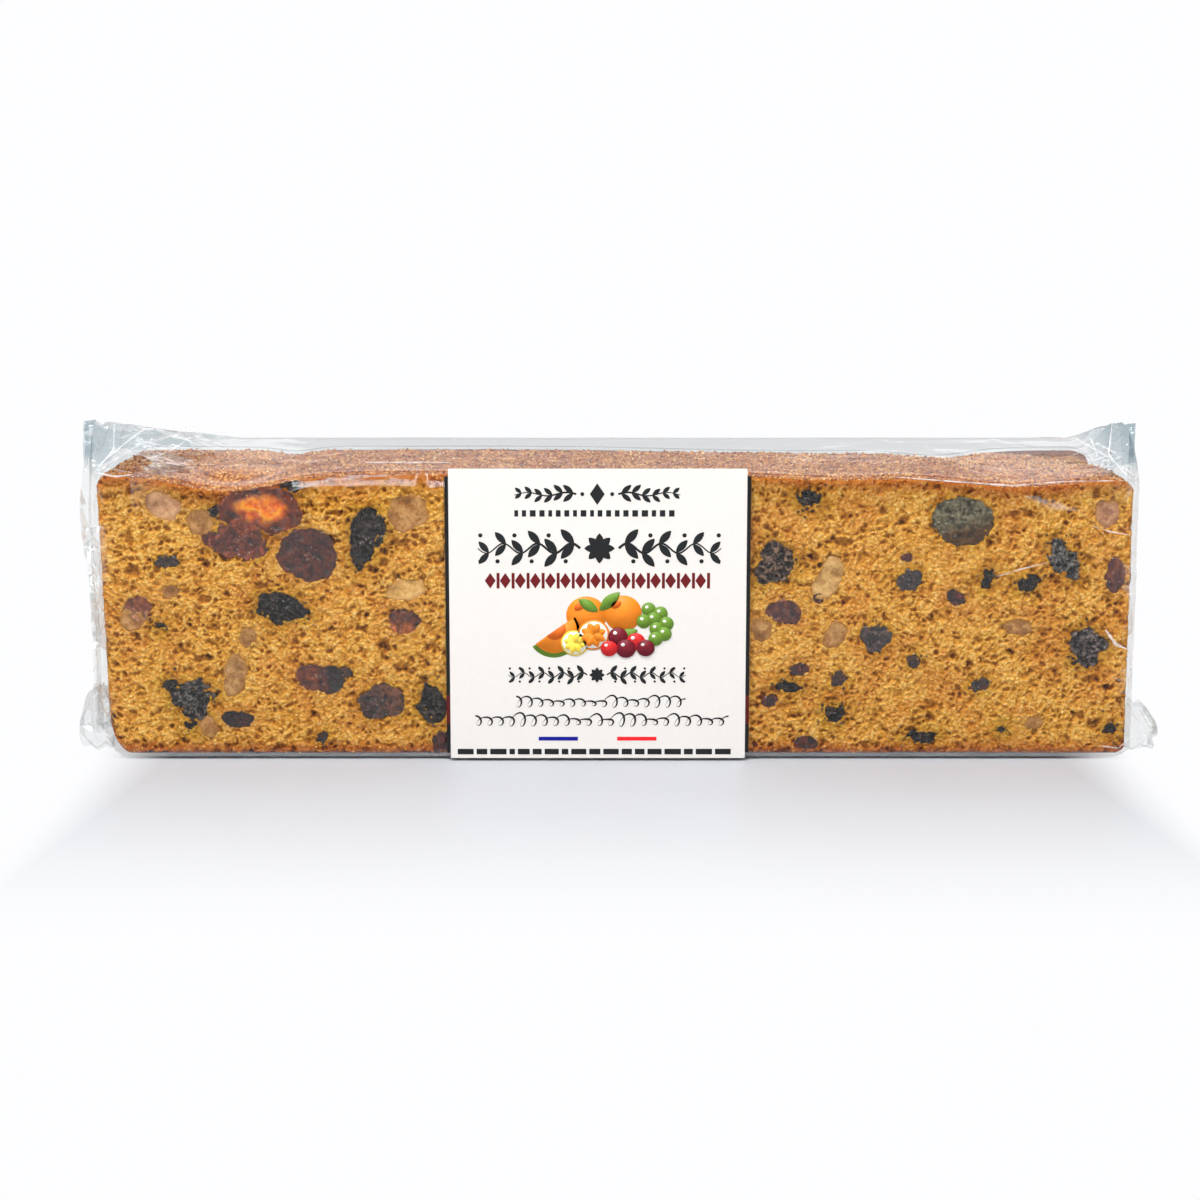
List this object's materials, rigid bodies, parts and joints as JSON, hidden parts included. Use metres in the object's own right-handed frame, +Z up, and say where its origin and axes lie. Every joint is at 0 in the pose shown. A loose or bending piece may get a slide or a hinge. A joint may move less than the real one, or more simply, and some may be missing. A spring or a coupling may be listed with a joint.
{
  "type": "wrapped fruit cake bar",
  "caption": "Long bar of fruit cake with a cut crumb face full of candied fruit, a browned crust, a clear flow-pack film with sealed ends and a plain square label.",
  "frame": {"origin": "on the floor under the middle of the cake, at the base mount", "axes": "+X along the bar to the right as the label is read, +Y from the labelled cut face to the back, +Z up"},
  "size_m": [0.225, 0.0526, 0.0666],
  "materials": {
    "cake_crumb": "open golden crumb with a browned crust",
    "clear_film": "thin glossy clear film",
    "label_paper": "smooth white label",
    "backing_paper": "black band with a dark red stripe",
    "pale_fruit": "moist and slightly see-through",
    "amber_fruit": "wet and glossy",
    "green_fruit": "moist",
    "brown_fruit": "moist",
    "red_fruit": "moist and glossy",
    "dark_fruit": "moist skin and flesh"
  },
  "bodies": {
    "root": {"cake": "cake_crumb", "pale_fruit_1": "pale_fruit", "pale_fruit_2": "pale_fruit", "pale_fruit_3": "pale_fruit", "pale_fruit_4": "pale_fruit", "pale_fruit_5": "pale_fruit", "pale_fruit_6": "pale_fruit", "amber_fruit": "amber_fruit", "green_fruit": "green_fruit", "brown_fruit_1": "brown_fruit", "brown_fruit_2": "brown_fruit", "brown_fruit_3": "brown_fruit", "brown_fruit_4": "brown_fruit", "brown_fruit_5": "brown_fruit", "red_fruit_1": "red_fruit", "red_fruit_2": "red_fruit", "red_fruit_3": "red_fruit", "red_fruit_4": "red_fruit", "red_fruit_5": "red_fruit", "red_fruit_6": "red_fruit", "red_fruit_7": "red_fruit", "dark_fruit_1": "dark_fruit", "dark_fruit_2": "dark_fruit", "dark_fruit_3": "dark_fruit", "dark_fruit_4": "dark_fruit", "dark_fruit_5": "dark_fruit", "dark_fruit_6": "dark_fruit", "dark_fruit_7": "dark_fruit", "dark_fruit_8": "dark_fruit", "dark_fruit_9": "dark_fruit", "film_wrap": "clear_film", "label": "label_paper", "label_backing": "backing_paper"}
  },
  "joints": []
}
